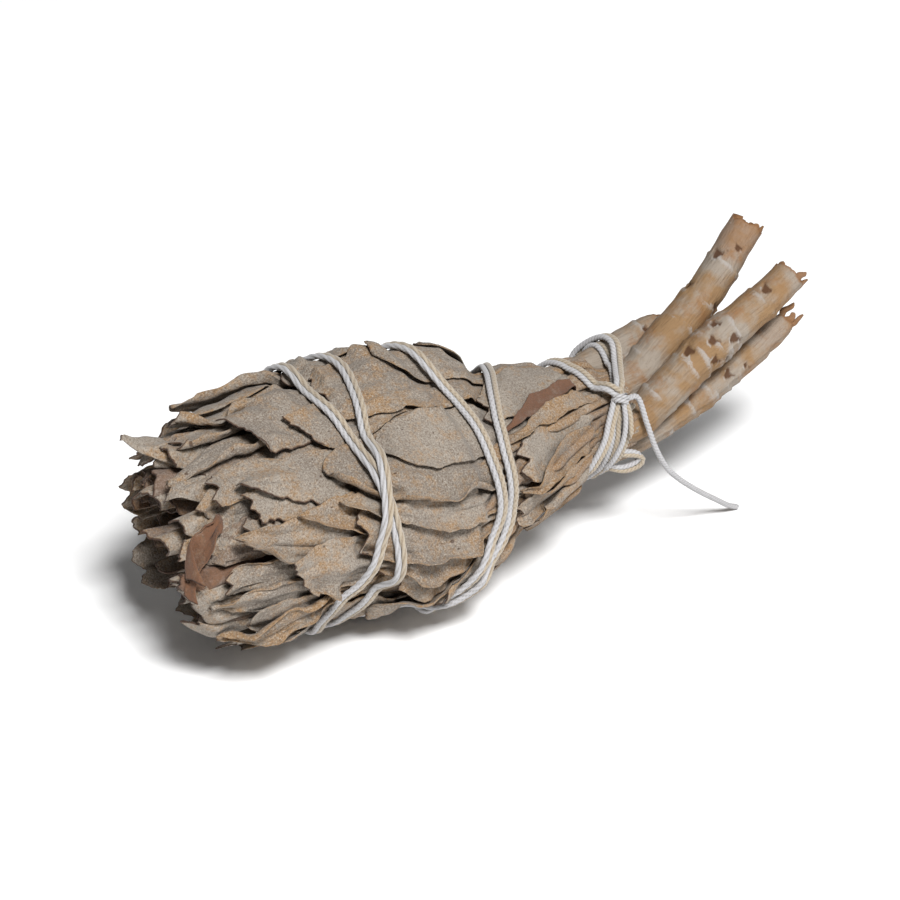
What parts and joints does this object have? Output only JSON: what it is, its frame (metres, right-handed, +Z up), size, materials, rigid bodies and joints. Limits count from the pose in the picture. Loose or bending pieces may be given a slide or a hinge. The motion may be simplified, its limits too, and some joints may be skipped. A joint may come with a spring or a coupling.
{
  "type": "sage bunch",
  "caption": "Bunch of dried sage lying on its side: overlapping leaves, bare stems at one end, wound and tied with twine.",
  "frame": {"origin": "centre of the flat spot that the bunch rests on", "axes": "+X from the leaf tips to the cut stems, +Z up"},
  "size_m": [0.1592, 0.0593, 0.0616],
  "materials": {
    "sage": "matte, felted dry leaf",
    "twine": "matte twisted cotton"
  },
  "bodies": {
    "root": {"shoot_upper": "sage", "shoot_middle": "sage", "shoot_lower": "sage", "shoot_short": "sage", "twine_winding": "twine", "twine_tail": "twine"}
  },
  "joints": []
}
